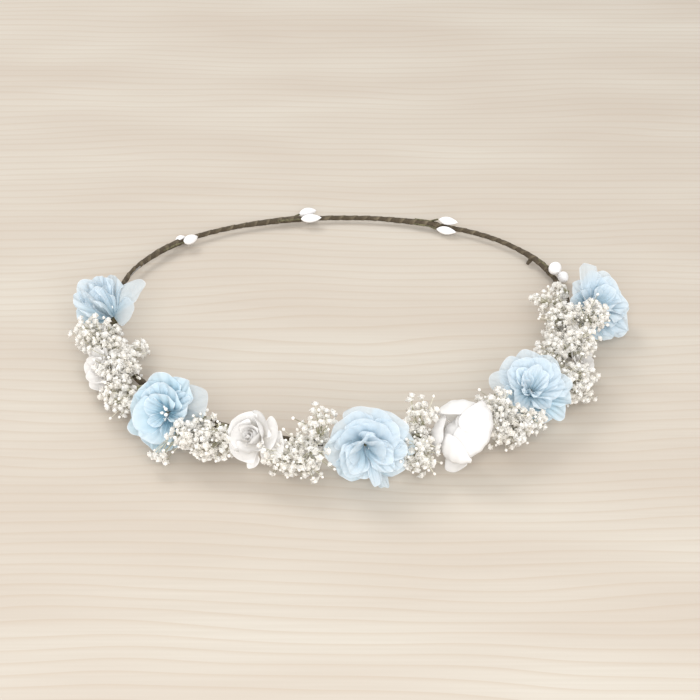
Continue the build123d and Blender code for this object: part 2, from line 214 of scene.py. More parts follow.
class Finish:
    """A node material, built by calling node() for each node and surface() at the end."""

    def __init__(self, name):
        self.material = bpy.data.materials.new(name)
        self.material.use_nodes = True
        self.material.node_tree.nodes.clear()

    def node(self, kind, settings=None, inputs=None, out=0):
        """Adds a node: its settings first, then its sockets' values or links."""
        made = self.material.node_tree.nodes.new(kind)
        for key, value in (settings or {}).items():
            setattr(made, key, value)
        for key, value in (inputs or {}).items():
            if isinstance(value, Value):
                self.material.node_tree.links.new(value.socket, made.inputs[key])
            else:
                made.inputs[key].default_value = value
        return Value(self, made.outputs[out])

    def mix(self, factor, first, second):
        """A colour between two, by a factor from 0 to 1."""
        settings = {"data_type": "RGBA", "clamp_factor": True}
        return self.node("ShaderNodeMix", settings, {0: factor, 6: first, 7: second}, out=2)

    def spread(self, value, low, high, new_low=0.0, new_high=1.0):
        """A value moved from one range to another and held inside it."""
        inputs = {0: value, 1: low, 2: high, 3: new_low, 4: new_high}
        return self.node("ShaderNodeMapRange", {"clamp": True}, inputs)

    def own(self, name):
        """One of the piece's own named values."""
        return self.node("ShaderNodeAttribute", {"attribute_name": name}, out="Fac")

    def place(self):
        """The place on the piece, in metres."""
        return self.node("ShaderNodeTexCoord", out="Object")

    def stretched(self, place, scale):
        """Coordinates with each axis scaled, so that a pattern on them is finer along it."""
        return self.node("ShaderNodeMapping", None, {0: place, "Scale": scale})

    def cloth(self, along=1.0, across=1.0):
        """The piece's own UVs in centimetres, stretched."""
        uv = self.node("ShaderNodeUVMap", {"uv_map": "cloth"})
        return self.stretched(uv, (across, along, 1))

    def noise(self, vector, scale, detail):
        """Smooth noise from 0 to 1, with so many lumps to a unit and so many finer layers."""
        inputs = {"Vector": vector, "Scale": scale, "Detail": detail, "Roughness": 0.55}
        return self.node("ShaderNodeTexNoise", None, inputs, out="Fac")

    def bump(self, height, distance, strength):
        """A normal bent by a height, for height steps of that many millimetres."""
        inputs = {"Height": height, "Distance": distance * MM, "Strength": strength}
        return self.node("ShaderNodeBump", None, inputs)

    def principled(self, **inputs):
        """The usual surface shader, with its sockets' names written with underscores."""
        named = {key.replace("_", " "): value for key, value in inputs.items()}
        return self.node("ShaderNodeBsdfPrincipled", None, named)

    def translucent(self, body, colour, share, **inputs):
        """A body of which that share lets light through, scattered, in its own colour."""
        glow = self.node("ShaderNodeBsdfTranslucent", None, {"Color": colour} | inputs)
        return self.node("ShaderNodeMixShader", None, {0: share, 1: body, 2: glow})

    def surface(self, shader):
        """Ends the material with that shader and hands it over."""
        output = self.material.node_tree.nodes.new("ShaderNodeOutputMaterial")
        self.material.node_tree.links.new(shader.socket, output.inputs["Surface"])
        return self.material


# %% [markdown]
# ## Brown florist's tape
# Florist's tape is crepe paper with wax: matte, dark olive-brown, paler where it is stretched
# over a ridge, and finely wrinkled across its width. The winding itself is real geometry on the
# band, so the material only adds the crepe's wrinkles and the change of colour along the turns.


# %% Tape finish
def tape_finish():
    """Waxed crepe paper: dark brown wrinkles, with the ridges of the turns rubbed paler."""
    finish = Finish("florist_tape")
    crepe = finish.noise(finish.cloth(along=1.0, across=3.0), 26.0, detail=4.0)
    blotch = finish.noise(finish.cloth(), 4.0, detail=2.0)
    ridge = finish.own("ridge")
    dark, light = (0.030, 0.021, 0.011, 1), (0.105, 0.078, 0.046, 1)
    shade = finish.mix(finish.spread(crepe, 0.35, 0.7), dark, light)
    worn = finish.mix(finish.spread(blotch * ridge, 0.25, 0.6), shade, (0.155, 0.125, 0.08, 1))
    normal = finish.bump(crepe, 0.25, 0.8)
    return finish.surface(finish.principled(Base_Color=worn, Roughness=0.86, Normal=normal))


TAPE = tape_finish()

# %% [markdown]
# ## The wound band
# The band is one long tube around the wire. The tape climbs it in a helix with each turn lapping
# the last, which leaves a small step along every turn. Where the stems of a bud or a head are
# bound in, the band swells, and it thins again where they end. A sweep with a Displace modifier
# could do this, but a formula for the radius keeps the steps sharp and puts each swelling
# exactly where its stems are.

# %% Where the band swells
BUD_NECKS = (131.0, 98.0, 71.0, 20.0)
SWELL_LENGTH = 26.0  # millimetres, from a pair of buds to the end of its stems
FRONT_MIDDLE = -88  # ring angle of the middle of the front half, which is bound throughout
FRONT_SWELLING = 0.85  # of that at a pair of buds
RING_STEPS = 2400
GIRTH_STEPS = 20
TURN_PITCH = 5.5
LAP_SHARE = 0.12  # of a turn's width, over which the tape climbs on the turn before
BARE_RADIUS, LAP_STEP, SWELLING, OVALNESS = 0.95, 0.18, 0.40, 0.35
WAVE_COUNT = 7
TAPE_UV_WIDTH = 0.75  # centimetres of tape round the band


def ring_angles(count):
    """Ring angles of points spaced evenly by length: the angle is inverted from run length."""
    fine = np.linspace(-180, 180, 7201)
    places = station(fine)[0]
    run = np.concatenate([[0], np.cumsum(np.linalg.norm(np.diff(places, axis=0), axis=1))])
    return np.interp(np.linspace(0, run[-1], count + 1), run, fine), run[-1]


def waves(values, seed, low=0.02, high=0.25):
    """Smooth random bumps about zero: a sum of sines with seeded lengths and phases."""
    pick = np.random.default_rng(seed)
    rates, phases = pick.uniform(low, high, WAVE_COUNT), pick.uniform(0, 2 * np.pi, WAVE_COUNT)
    return np.sin(2 * np.pi * values[..., None] * rates + phases).mean(-1)


def wound_band():
    """Band surface: radius = tape + lap step + swelling + lumps, around the wire's line.

    The lap step is a saw tooth in (length / pitch - girth), so it climbs the band as a helix.
    """
    angles, length = ring_angles(RING_STEPS)
    place, out, _, up = (part[:-1, None] for part in station(angles))
    run = np.linspace(0, length, RING_STEPS + 1)[:-1, None]
    girth = np.linspace(0, 2 * np.pi, GIRTH_STEPS + 1)[None, :-1]
    turns = round(length / TURN_PITCH)
    tooth = (run * turns / length - girth / (2 * np.pi)) % 1.0
    falling = 1 - (tooth - LAP_SHARE) / (1 - LAP_SHARE)
    lap = np.where(tooth < LAP_SHARE, tooth / LAP_SHARE, falling)
    swell = np.zeros_like(run)
    for neck in BUD_NECKS:
        past = (angles[:-1, None] - neck) * math.radians(1) * arc_radius(neck)
        grown = np.clip((past + 0.6) / 1.2, 0, 1) * np.clip(1 - past / SWELL_LENGTH, 0, 1) ** 0.7
        swell = np.maximum(swell, grown)
    front = np.cos(np.radians(angles[:-1, None] - FRONT_MIDDLE))
    front = np.clip((front + 0.12) / 0.3, 0, 1)
    swell = np.maximum(swell, FRONT_SWELLING * front)
    lumps = 0.10 * waves(run, 3, low=0.05, high=0.4) + 0.05 * waves(run + 9 * girth, 5)
    oval = OVALNESS * swell * np.cos(girth - 1.9 + 0.3 * waves(run, 8))
    radius = BARE_RADIUS + LAP_STEP * lap + SWELLING * swell + oval + lumps
    side = np.cos(girth)[..., None] * out + np.sin(girth)[..., None] * up
    sway = 0.35 * waves(run, 12, low=0.01, high=0.04) * (1 - front)
    sag = 0.25 * waves(run, 21, low=0.01, high=0.05)
    centre = place + out * sway[..., None] + up * sag[..., None]
    points = centre + radius[..., None] * side
    u, v = np.meshgrid(
        np.arange(GIRTH_STEPS + 1) / GIRTH_STEPS * TAPE_UV_WIDTH,
        np.arange(RING_STEPS + 1) * length / RING_STEPS / 10,
    )
    return Grid(points, np.stack([u, v], -1), around=True, along=True, ridge=lap)


TAPED = ["tape_wrap", "bud_bindings", "head_bindings"]
make_piece("wound_tape", [wound_band()], TAPE, TAPED)

# %% [markdown]
# ## Where a head sits
# A head is a stack of petals round an axis. The axis is the way the head faces, and it starts
# at the head's base beside the wire. Petals are placed by a clock round that axis: 0 is the
# top of the head's face, and 90 is a quarter turn towards the wearer's left.

# %% Heads and their own directions
BLOOMS = {
    1: dict(angle=-169.0, out=-1.0, up=7.1, turn=-25, rise=66, radius=15.0),
    2: dict(angle=-128.5, out=6.8, up=3.0, turn=18, rise=40, radius=16.0),
    3: dict(angle=-85.0, out=4.8, up=4.4, turn=6, rise=24, radius=16.5),
    4: dict(angle=-44.5, out=5.6, up=4.8, turn=-30, rise=64, radius=16.0),
    5: dict(angle=-5.5, out=7.7, up=4.6, turn=-22, rise=52, radius=14.5),
}
ROSES = {
    1: dict(angle=-151.0, out=8.9, up=2.9, turn=6, rise=26, radius=10.0),
    2: dict(angle=-107.5, out=5.3, up=3.6, turn=-20, rise=40, radius=11.5),
    3: dict(angle=-62.5, out=9.1, up=1.5, turn=-75, rise=50, radius=12.0),
    4: dict(angle=-23.5, out=5.6, up=3.7, turn=-4, rise=24, radius=9.5),
}


class Head:
    """A head's base and its three directions: facing, top of the face, and side."""

    def __init__(self, angle, out, up, turn, rise, radius):
        place, outward, _, upward = station(angle)
        level, lift = math.radians(angle + turn), math.radians(rise)
        self.base = place + out * outward + up * upward
        self.facing = np.array(
            [math.cos(level) * math.cos(lift), math.sin(level) * math.cos(lift), math.sin(lift)]
        )
        top = np.array([0, 0, 1]) - self.facing * self.facing[2]
        self.top = top / np.linalg.norm(top)
        self.side = np.cross(self.top, self.facing)
        self.radius = radius

    def clock(self, azimuth):
        """The direction across the face at that clock angle, and the one a quarter turn on."""
        turn = np.radians(azimuth)[..., None]
        return (
            np.cos(turn) * self.top + np.sin(turn) * self.side,
            np.cos(turn) * self.side - np.sin(turn) * self.top,
        )


# %% [markdown]
# ## Chiffon petals
# A petal is cut from chiffon as a fan, narrow and pleated at its foot and round at its rim, and
# it is shaped with a warm iron so that it cups. Cloth simulation could drape it, but petals this
# small are stiff and keep the form they were pressed to, so each one is a formula: a middle
# line that opens away from the head's axis, a cross-section bent to an arc, pleats that die
# out from the foot, and a rim that waves. Its edge is cut hot, which leaves a thin hard rim.

# %% Petal surface
PETAL_ROWS, PETAL_COLUMNS = 30, 23
PETAL_FOOT, PETAL_WAIST = 0.16, 0.15
RIM_WAVES = ((0.62, 0.9), (0.42, -1.2), (0.22, 2.0))  # height, and slant from foot to rim
FLOOR_MARGIN = 0.4
FLOOR_SOFTNESS = 1.2
FULLNESS = 1.25


def above_floor(points):
    """Points kept off the surface below: height = margin + soft positive part of the rest."""
    height = points[..., 2] - FLOOR_MARGIN
    points[..., 2] = FLOOR_MARGIN + (height + np.sqrt(height**2 + FLOOR_SOFTNESS)) / 2
    return points


def running_total(values, step):
    """Sum from the start up to each value, by trapeziums one step wide."""
    return np.concatenate([[0], np.cumsum((values[1:] + values[:-1]) * step / 2)])


def petal_outline(half, point=0.34):
    """Rows s from foot to rim, columns t from side to side, and where each lies in flat cloth.

    Half width = half * (foot + (1 - foot) (1 - (1 - s)^2)) * (1 - waist s^8), and the rim falls
    back by point |t|^2.6 of the length towards the sides, which rounds the tip.
    """
    s = (np.linspace(0, 1, PETAL_ROWS) ** 0.85)[:, None]
    t = np.sin(np.linspace(-1.25, 1.25, PETAL_COLUMNS))[None, :] / math.sin(1.25)
    fan = PETAL_FOOT + (1 - PETAL_FOOT) * (1 - (1 - s) ** 2)
    width = half * fan * (1 - PETAL_WAIST * s**8)
    reach = s * (1 - point * np.abs(t) ** 2.6 * s)
    return s, t, width, reach


def petal(
    head, azimuth, length, half, opening, cup=0.9, lift=0.0, start=0.8, roll=0.0, sweep=0.0,
    frill=0.8, pleat=0.35, curl=0.0, squash=1.0, wrap=0.35, point=0.34, tone_and_painted_shade=0.5, seed=0,
):
    """One petal. opening is its angle off the head's axis at the foot and at the rim, in degrees.

    The middle line is the running total of (sin, cos) of the opening. Each point leaves it by an
    arc of curvature cup / half across, towards the inside of the flower, of which the share wrap
    is even from foot to rim. squash presses the heights together: petals that close over then
    make a wide low dome. The seed draws the notch in the rim, the rim's waves and the pleats.
    """
    pick = np.random.default_rng(seed)
    s, t, width, reach = petal_outline(half, point)
    notch = 1 + 0.05 * np.sin(pick.uniform(1.5, 3.2) * t + pick.uniform(0, 6.3)) * s**2
    fine = np.linspace(0, 1, 80)
    bend = opening[0] + (opening[1] - opening[0]) * fine**1.2
    bend = np.radians(bend + curl * np.clip((fine - 0.7) / 0.3, 0, 1) ** 1.6)
    along = np.clip(reach * notch, 0, 1.05) / 1.05
    away = np.interp(along, fine, start + length * running_total(np.sin(bend), fine[1]))
    height = lift + length * squash * np.interp(along, fine, running_total(np.cos(bend), fine[1]))
    slope = np.interp(along, fine, bend)
    hollow = cup / half * (wrap + (1 - wrap) * np.sin(np.pi * np.clip(s * 0.8 + 0.12, 0, 1)))
    across = t * width
    inward = (1 - np.cos(hollow * across)) / hollow
    sideways = np.sin(hollow * across) / hollow
    phases = pick.uniform(0, 2 * np.pi, 5)
    rates = pick.uniform([0.8, 1.4, 2.4, 0.5, 3.0], [1.4, 2.4, 3.6, 1.2, 5.0])
    rim_wave = sum(
        tall * np.sin(rate * np.pi * t + phase + slant * s)
        for (tall, slant), rate, phase in zip(RIM_WAVES, rates, phases)
    )
    inward = inward + frill * s**2.2 * (0.45 + 0.55 * np.abs(t)) * rim_wave
    inward = inward + pleat * (1 - s) ** 0.4 * s**0.5 * np.cos(rates[4] * np.pi * t + phases[3])
    inward = inward + 0.35 * np.sin(3.1 * s + phases[4]) * np.cos(1.7 * t + phases[3])
    inward = inward - 0.10 * half * np.abs(t) ** 5 * s
    tilt = math.radians(roll)
    sideways, inward = (
        sideways * math.cos(tilt) - inward * math.sin(tilt) + sweep * length * along**2,
        inward * math.cos(tilt) + sideways * math.sin(tilt),
    )
    radial, around = head.clock(np.asarray(float(azimuth)))
    points = (
        head.base
        + radial * (away - np.cos(slope) * inward)[..., None]
        + head.facing * (height + np.sin(slope) * inward)[..., None]
        + around * sideways[..., None]
    )
    grain = pick.uniform(0, np.pi)
    flat = np.stack([across + 0 * s, along * length + 0 * t], -1) / 10
    turn = np.array([[math.cos(grain), -math.sin(grain)], [math.sin(grain), math.cos(grain)]])
    edge = np.minimum((1 - s) * length, (1 - np.abs(t)) * width)
    made = above_floor(points)
    return Grid(made, flat @ turn, reach=s + 0 * t, edge=edge, tone_and_painted_shade=tone_and_painted_shade + 0 * s * t)


def petal_area(length, half):
    """Flat area of a petal's cut, square millimetres."""
    s, t, width, reach = petal_outline(half)
    flat = np.stack([t * width, reach * length], -1)
    first, second = flat[1:, 1:] - flat[:-1, :-1], flat[1:, :-1] - flat[:-1, 1:]
    return float(np.abs(first[..., 0] * second[..., 1] - first[..., 1] * second[..., 0]).sum() / 2)


def petal_piece(name, head, petals, stands_for):
    """Several petals as one piece, in chiffon.

    It works out a strip FULLNESS times as wide as the petals' outlines, the longest petal and
    an area about that of the pleated and frilled surfaces, which are larger; nothing uses them.
    The cloth is declared FULLNESS times as wide as the petals' outlines, so that its area about
    matches that of the pleated and frilled surfaces, which are larger than the outlines.
    """
    grids = [petal(head, **values) for values in petals]
    piece = make_piece(name, grids, CHIFFON, stands_for)
    strip = FULLNESS * sum(2 * values["half"] for values in petals)
    longest = max(values["length"] for values in petals)
    area = FULLNESS * sum(petal_area(values["length"], values["half"]) for values in petals)
    strip * MM
    longest * MM
    area * MM**2


# %% [markdown]
# ## Chiffon's look
# Dyed chiffon is thin and sheer: one layer over the background looks nearly white with a touch
# of lavender, and several layers add up to blue. So the cloth is a diffuse weave mixed with a
# translucent one, and it lets a little light straight through near the rim. Its colour deepens
# towards the foot, partly for the layered dye and partly as painted shade in the folds near the
# heart, and a low tone paints more shade on petals that lie under others. The hot-cut edge is
# denser and paler, and its pale line is partly a painted highlight. Its threads show as fine
# lines.

# %% Chiffon finish
def chiffon_finish():
    """Sheer blue weave: deep at the foot with painted shade, darker where a petal's tone paints
    shade, pale at the rim with a partly painted highlight on the hard edge, partly clear.
    """
    finish = Finish("blue_chiffon")
    reach, edge, tone_and_painted_shade = finish.own("reach"), finish.own("edge"), finish.own("tone_and_painted_shade")
    threads = finish.noise(finish.cloth(along=1.0, across=26.0), 3.0, detail=2.0)
    weft = finish.noise(finish.cloth(along=26.0, across=1.0), 3.0, detail=2.0)
    clouding = finish.noise(finish.cloth(), 1.6, detail=2.0)
    # Painted shade: the colour deepens towards each petal's foot, in the folds near the heart, and
    # a low tone darkens petals that lie under others.
    fade_and_painted_shade = finish.spread(reach + 0.30 * (clouding - 0.5) + 0.60 * (tone_and_painted_shade - 0.5), 0.02, 1.0)
    deep, middle = (0.25, 0.455, 0.57, 1), (0.56, 0.71, 0.785, 1)
    pale, rim = (0.715, 0.79, 0.84, 1), (0.78, 0.83, 0.87, 1)
    colour = finish.mix(finish.spread(fade_and_painted_shade, 0.0, 0.32), deep, middle)
    colour = finish.mix(finish.spread(fade_and_painted_shade, 0.32, 0.9), colour, pale)
    # The paler hot-cut rim: partly the denser edge, partly a painted highlight.
    colour = finish.mix(finish.spread(edge, 0.45, 0.1), colour, rim)
    thread_lines = finish.spread(threads, 0.4, 0.66, 0.0, 0.3)
    shaded = finish.mix(thread_lines, colour, (0.42, 0.585, 0.72, 1))
    normal = finish.bump(0.6 * threads + 0.4 * weft, 0.06, 0.55)
    cloth = finish.principled(
        Base_Color=shaded, Roughness=0.72, Normal=normal, Sheen_Weight=0.25, Sheen_Roughness=0.4,
    )
    body = finish.translucent(cloth, shaded, 0.38, Normal=normal)
    clear = finish.node("ShaderNodeBsdfTransparent", None, {"Color": (0.94, 0.97, 1.0, 1)})
    solid = finish.spread(tone_and_painted_shade + 0.25 * reach, 0.8, 1.25, 0.96, 0.58)
    solid = solid + finish.spread(edge, 0.35, 0.1, 0.0, 0.12)
    open_weave = finish.spread(threads + weft, 0.7, 1.3, -0.05, 0.05)
    return finish.surface(
        finish.node("ShaderNodeMixShader", None, {0: solid + open_weave, 1: clear, 2: body})
    )


CHIFFON = chiffon_finish()

# %% [markdown]
# ## The five blooms
# Each bloom has three layers of petals: an outer one that spreads almost flat, a middle one
# that cups, and an inner one that stands around the stamens. They are handmade, so no two are
# alike. A layer is given by the clock angles of its petals, and a few petals are singled out.

# %% Petals of every bloom
def chiffon(azimuth, length, half, opening, cup, tone_and_painted_shade=0.5, **values):
    """A chiffon petal: its clock angle, length, half width, opening, hollow and tone, which sets
    its paleness and, where low, paints shade on a petal that lies under others.

    Its seed comes from its own numbers, so a petal keeps its folds when another one changes.
    """
    seed = int(1000 + azimuth * 7 + length * 131 + half * 17) % 9973
    pick = np.random.default_rng(seed)
    plain = dict(roll=pick.uniform(6, 20), sweep=pick.uniform(-0.08, 0.08), frill=1.5, pleat=0.9)
    made = dict(azimuth=azimuth, length=length, half=half, opening=opening, cup=cup)
    return made | plain | dict(tone_and_painted_shade=tone_and_painted_shade, seed=seed) | values


# Each petal's sixth number is its tone: high is paler and sheerer, low is painted shade on petals
# that lie under others or in the shadowed lower layers, and bloom 2's tones are all lowered to
# paint shade over the whole bloom.
BLOOM_PETALS = {
    1: dict(
        spread=[
            chiffon(-26, 18.0, 4.8, (60, 80), 0.5, 1.0, lift=1.0, frill=0.8, roll=-48, pleat=0.3),
            chiffon(16, 12.0, 6.6, (78, 92), 0.5, 0.95, lift=0.5, frill=0.6, roll=-38, pleat=0.3),
            chiffon(150, 15.0, 7.0, (62, 52), 0.7, 0.25, roll=24),
            chiffon(182, 16.0, 7.6, (58, 58), 0.6, 0.65, roll=34, pleat=1.6),
            chiffon(214, 17.0, 7.6, (46, 48), 0.6, 0.75, roll=28, pleat=1.6),
        ],
        cup=[
            chiffon(48, 15.0, 6.4, (16, 8), 0.9, 0.75, pleat=1.8, roll=-12),
            chiffon(84, 17.0, 7.2, (22, 2), 0.8, 0.7, pleat=2.0, roll=-6),
            chiffon(118, 18.0, 7.6, (30, 6), 0.7, 0.65, pleat=2.0, roll=8),
            chiffon(152, 18.0, 7.8, (38, 22), 0.6, 0.6, pleat=2.0, roll=24),
            chiffon(246, 17.5, 7.6, (34, 40), 0.7, 0.8, pleat=1.6),
            chiffon(284, 17.0, 7.4, (34, 40), 0.8, 0.8, pleat=1.6),
        ],
        heart=[
            chiffon(196, 17.5, 6.6, (24, 22), 0.9, 0.7, lift=1.5, roll=20, pleat=1.8),
            chiffon(130, 17.5, 5.6, (10, -6), 1.1, 0.55, lift=1.5, pleat=1.8),
            chiffon(262, 16.5, 6.2, (16, 20), 1.0, 0.7, lift=1.5),
            chiffon(322, 15.5, 6.2, (18, 24), 1.0, 0.75, lift=1.5, roll=-20),
        ],
    ),
    2: dict(
        spread=[
            chiffon(-24, 15.5, 8.8, (62, 80), 0.6, -0.12),
            chiffon(16, 16.0, 8.6, (58, 76), 0.6, 0.08, pleat=1.4),
            chiffon(62, 18.0, 8.4, (66, 82), 0.5, 1.0, frill=0.9),
            chiffon(270, 16.0, 8.4, (68, 90), 0.7, -0.17),
            chiffon(300, 15.5, 7.8, (64, 80), 0.7, 0.03),
            chiffon(236, 16.5, 7.2, (72, 96), 0.8, -0.32, frill=1.8),
            chiffon(204, 15.5, 7.4, (74, 98), 0.8, -0.22, frill=1.8),
            chiffon(172, 15.0, 7.2, (74, 98), 0.8, -0.32, frill=1.8),
            chiffon(138, 14.5, 7.0, (72, 92), 0.8, -0.42),
        ],
        cup=[
            chiffon(248, 13.4, 8.6, (48, 72), 1.0, 0.13, lift=2.0, roll=14, curl=-18),
            chiffon(198, 14.4, 7.2, (56, 76), 0.8, 0.18, lift=1.4, roll=4),
            chiffon(158, 12.5, 3.6, (56, 72), 1.6, 0.03, lift=1.6),
            chiffon(58, 13.5, 6.6, (48, 70), 1.0, 0.28, lift=1.6, pleat=1.4),
            chiffon(4, 12.5, 8.6, (42, 58), 0.9, 0.08, lift=1.6),
            chiffon(310, 13.0, 7.6, (54, 72), 0.9, 0.18, lift=1.4),
        ],
        heart=[
            chiffon(-16, 10.4, 7.4, (28, 54), 1.2, -0.07, lift=3.0, frill=0.8),
            chiffon(278, 9.6, 4.6, (42, 66), 1.5, 0.23, lift=3.4, frill=0.6),
            chiffon(88, 10.4, 4.8, (46, 68), 1.8, -0.07, lift=3.0, frill=0.6),
            chiffon(212, 8.5, 3.4, (44, 66), 1.6, 0.08, lift=3.2, frill=0.6),
        ],
    ),
    3: dict(
        spread=[
            chiffon(-34, 15.0, 9.6, (58, 76), 0.5, 0.95, frill=0.9),
            chiffon(12, 16.5, 10.4, (58, 74), 0.4, 0.95, frill=0.9),
            chiffon(56, 17.5, 9.0, (60, 76), 0.5, 0.85, frill=1.2),
            chiffon(100, 18.5, 8.0, (68, 84), 0.7, 0.5, frill=2.0),
            chiffon(130, 18.5, 7.2, (72, 90), 0.8, 0.35, frill=2.0, pleat=1.4),
            chiffon(161, 20.0, 3.4, (70, 84), 0.7, 0.8, roll=0),
            chiffon(212, 15.5, 7.6, (78, 96), 0.6, 0.15),
            chiffon(268, 15.0, 9.0, (66, 84), 0.6, 0.85),
        ],
        cup=[
            chiffon(236, 14.0, 8.6, (46, 74), 0.95, 0.75, lift=2.0, curl=-24, roll=10),
            chiffon(-40, 13.0, 9.4, (44, 60), 0.7, 0.85, lift=2.0, frill=0.9),
            chiffon(12, 13.5, 9.6, (42, 58), 0.6, 0.85, lift=2.4, frill=0.9),
            chiffon(66, 15.0, 7.6, (48, 66), 0.8, 0.7, lift=1.8),
            chiffon(102, 16.0, 6.4, (52, 72), 1.1, 0.6, lift=1.8, frill=1.8, pleat=1.5),
            chiffon(128, 16.5, 5.6, (56, 76), 1.2, 0.55, lift=1.8, frill=1.8, pleat=1.5),
            chiffon(192, 13.5, 5.4, (56, 76), 1.0, 0.45, lift=1.4),
        ],
        heart=[
            chiffon(168, 17.0, 3.2, (48, 72), 1.9, 0.75, lift=2.6, frill=0.7, roll=0),
            chiffon(140, 15.0, 5.0, (34, 68), 1.5, 0.65, lift=2.8, frill=1.8, pleat=1.4, roll=16),
            chiffon(108, 14.5, 5.4, (22, 64), 1.4, 0.6, lift=2.8, frill=1.8, pleat=1.4),
            chiffon(236, 14.0, 7.0, (30, 66), 1.3, 0.65, lift=2.8, curl=-20, roll=12),
            chiffon(285, 14.0, 8.4, (10, 54), 0.9, 0.8, lift=2.8, start=0.3, frill=0.9),
            chiffon(-10, 13.5, 9.0, (4, 42), 0.8, 0.85, lift=2.8, start=0.3, frill=0.8),
            chiffon(60, 13.5, 8.0, (6, 50), 1.0, 0.75, lift=2.8, start=0.3),
        ],
    ),
    4: dict(
        spread=[
            chiffon(-62, 16.5, 6.8, (64, 78), 0.5, 1.0, frill=0.7),
            chiffon(-24, 16.0, 7.4, (60, 74), 0.6, 0.85),
            chiffon(14, 17.0, 8.0, (58, 70), 0.6, 0.85),
            chiffon(50, 17.0, 7.8, (62, 78), 0.6, 0.82),
            chiffon(80, 17.0, 7.8, (66, 84), 0.6, 0.74),
            chiffon(104, 16.5, 7.2, (76, 94), 0.8, 0.2, frill=1.6),
            chiffon(130, 15.5, 7.2, (78, 98), 0.8, 0.1, frill=1.6),
            chiffon(165, 13.5, 6.6, (78, 96), 0.8, 0.1),
            chiffon(210, 12.5, 6.6, (76, 92), 0.7, 0.3),
            chiffon(255, 13.5, 6.6, (70, 86), 0.7, 0.74),
        ],
        cup=[
            chiffon(104, 12.8, 6.6, (52, 72), 1.0, 0.79, lift=2.0, curl=-14, roll=10),
            chiffon(66, 14.5, 7.4, (50, 70), 0.8, 0.82, lift=1.8),
            chiffon(26, 14.5, 7.4, (44, 58), 0.8, 0.82, lift=1.8),
            chiffon(-14, 14.5, 7.2, (44, 58), 0.8, 0.82, lift=1.8),
            chiffon(-46, 13.0, 5.6, (42, 56), 1.0, 0.82, lift=1.8),
            chiffon(155, 10.5, 5.6, (58, 78), 1.0, 0.59, lift=1.4),
            chiffon(230, 10.5, 5.6, (56, 76), 1.0, 0.64, lift=1.4),
        ],
        heart=[
            chiffon(4, 12.5, 4.8, (22, 30), 1.1, 0.69, lift=2.6, frill=0.5, roll=4),
            chiffon(-30, 11.5, 4.6, (34, 44), 1.2, 0.49, lift=2.4, frill=0.7),
            chiffon(-48, 10.5, 3.6, (24, 34), 1.7, 0.69, lift=2.6, frill=0.7),
            chiffon(70, 10.5, 4.8, (26, 44), 1.5, 0.64, lift=2.6, frill=0.8),
            chiffon(140, 7.5, 4.4, (24, 40), 1.5, 0.59, lift=2.6),
            chiffon(215, 6.5, 4.2, (20, 34), 1.5, 0.64, lift=2.6),
            chiffon(285, 7.5, 4.2, (20, 36), 1.5, 0.64, lift=2.6),
        ],
    ),
    5: dict(
        spread=[
            chiffon(8, 21.0, 4.6, (44, 50), 0.4, 1.0, frill=0.4, roll=26, pleat=0.3, point=0.08),
            chiffon(38, 15.5, 6.6, (46, 54), 0.5, 0.9, frill=0.8, roll=26),
            chiffon(66, 16.5, 7.2, (48, 58), 0.7, 0.85, roll=22),
            chiffon(100, 16.0, 7.4, (56, 70), 0.7, 0.7),
            chiffon(132, 16.5, 7.4, (62, 76), 0.7, 0.65),
            chiffon(160, 17.5, 7.6, (64, 80), 0.7, 0.7, roll=-10),
            chiffon(186, 17.0, 7.4, (68, 84), 0.7, 0.65, roll=-14),
            chiffon(214, 16.0, 7.2, (74, 90), 0.7, 0.35, roll=-16, frill=1.8),
            chiffon(240, 14.5, 6.8, (76, 92), 0.8, 0.1, frill=1.9),
            chiffon(272, 12.5, 6.4, (74, 88), 0.8, 0.15, frill=1.6),
            chiffon(318, 12.5, 6.6, (70, 84), 0.7, 0.5),
            chiffon(358, 14.0, 6.6, (64, 78), 0.6, 0.85),
        ],
        cup=[
            chiffon(82, 14.5, 6.8, (40, 52), 0.9, 0.7, lift=1.6),
            chiffon(124, 14.5, 6.8, (46, 60), 0.9, 0.6, lift=1.6, pleat=1.2),
            chiffon(166, 14.0, 6.8, (50, 68), 0.9, 0.65, lift=1.6, pleat=1.2),
            chiffon(208, 13.0, 6.2, (56, 74), 0.9, 0.5, lift=1.4),
            chiffon(262, 11.0, 5.8, (56, 72), 0.9, 0.5, lift=1.4),
            chiffon(322, 11.5, 5.8, (50, 64), 0.9, 0.7, lift=1.4),
            chiffon(36, 13.0, 6.2, (42, 50), 0.9, 0.75, lift=1.4),
        ],
        heart=[
            chiffon(70, 11.5, 5.2, (24, 36), 1.3, 0.5, lift=2.4),
            chiffon(140, 11.0, 5.2, (28, 46), 1.3, 0.5, lift=2.4),
            chiffon(205, 10.0, 4.8, (30, 48), 1.3, 0.5, lift=2.4),
            chiffon(275, 8.5, 4.4, (26, 42), 1.3, 0.5, lift=2.4),
            chiffon(345, 9.5, 4.6, (24, 36), 1.3, 0.6, lift=2.4),
        ],
    ),
}
for number, parts in BLOOM_PETALS.items():
    head = Head(**BLOOMS[number])
    stands_for = {"heart": f"bloom_{number}_inner_petals"}
    for part, petals in parts.items():
        node = stands_for.get(part, f"bloom_{number}_outer_petals")
        petal_piece(f"bloom_{number}_{part}", head, petals, [node])

# %% [markdown]
# ## Stamens
# Real stamens are bought by the bunch: stiff white thread dipped in a bead of pearly paste. Five
# are gathered into each heart. They are plain sweeps and lathed beads, bent a little apart.

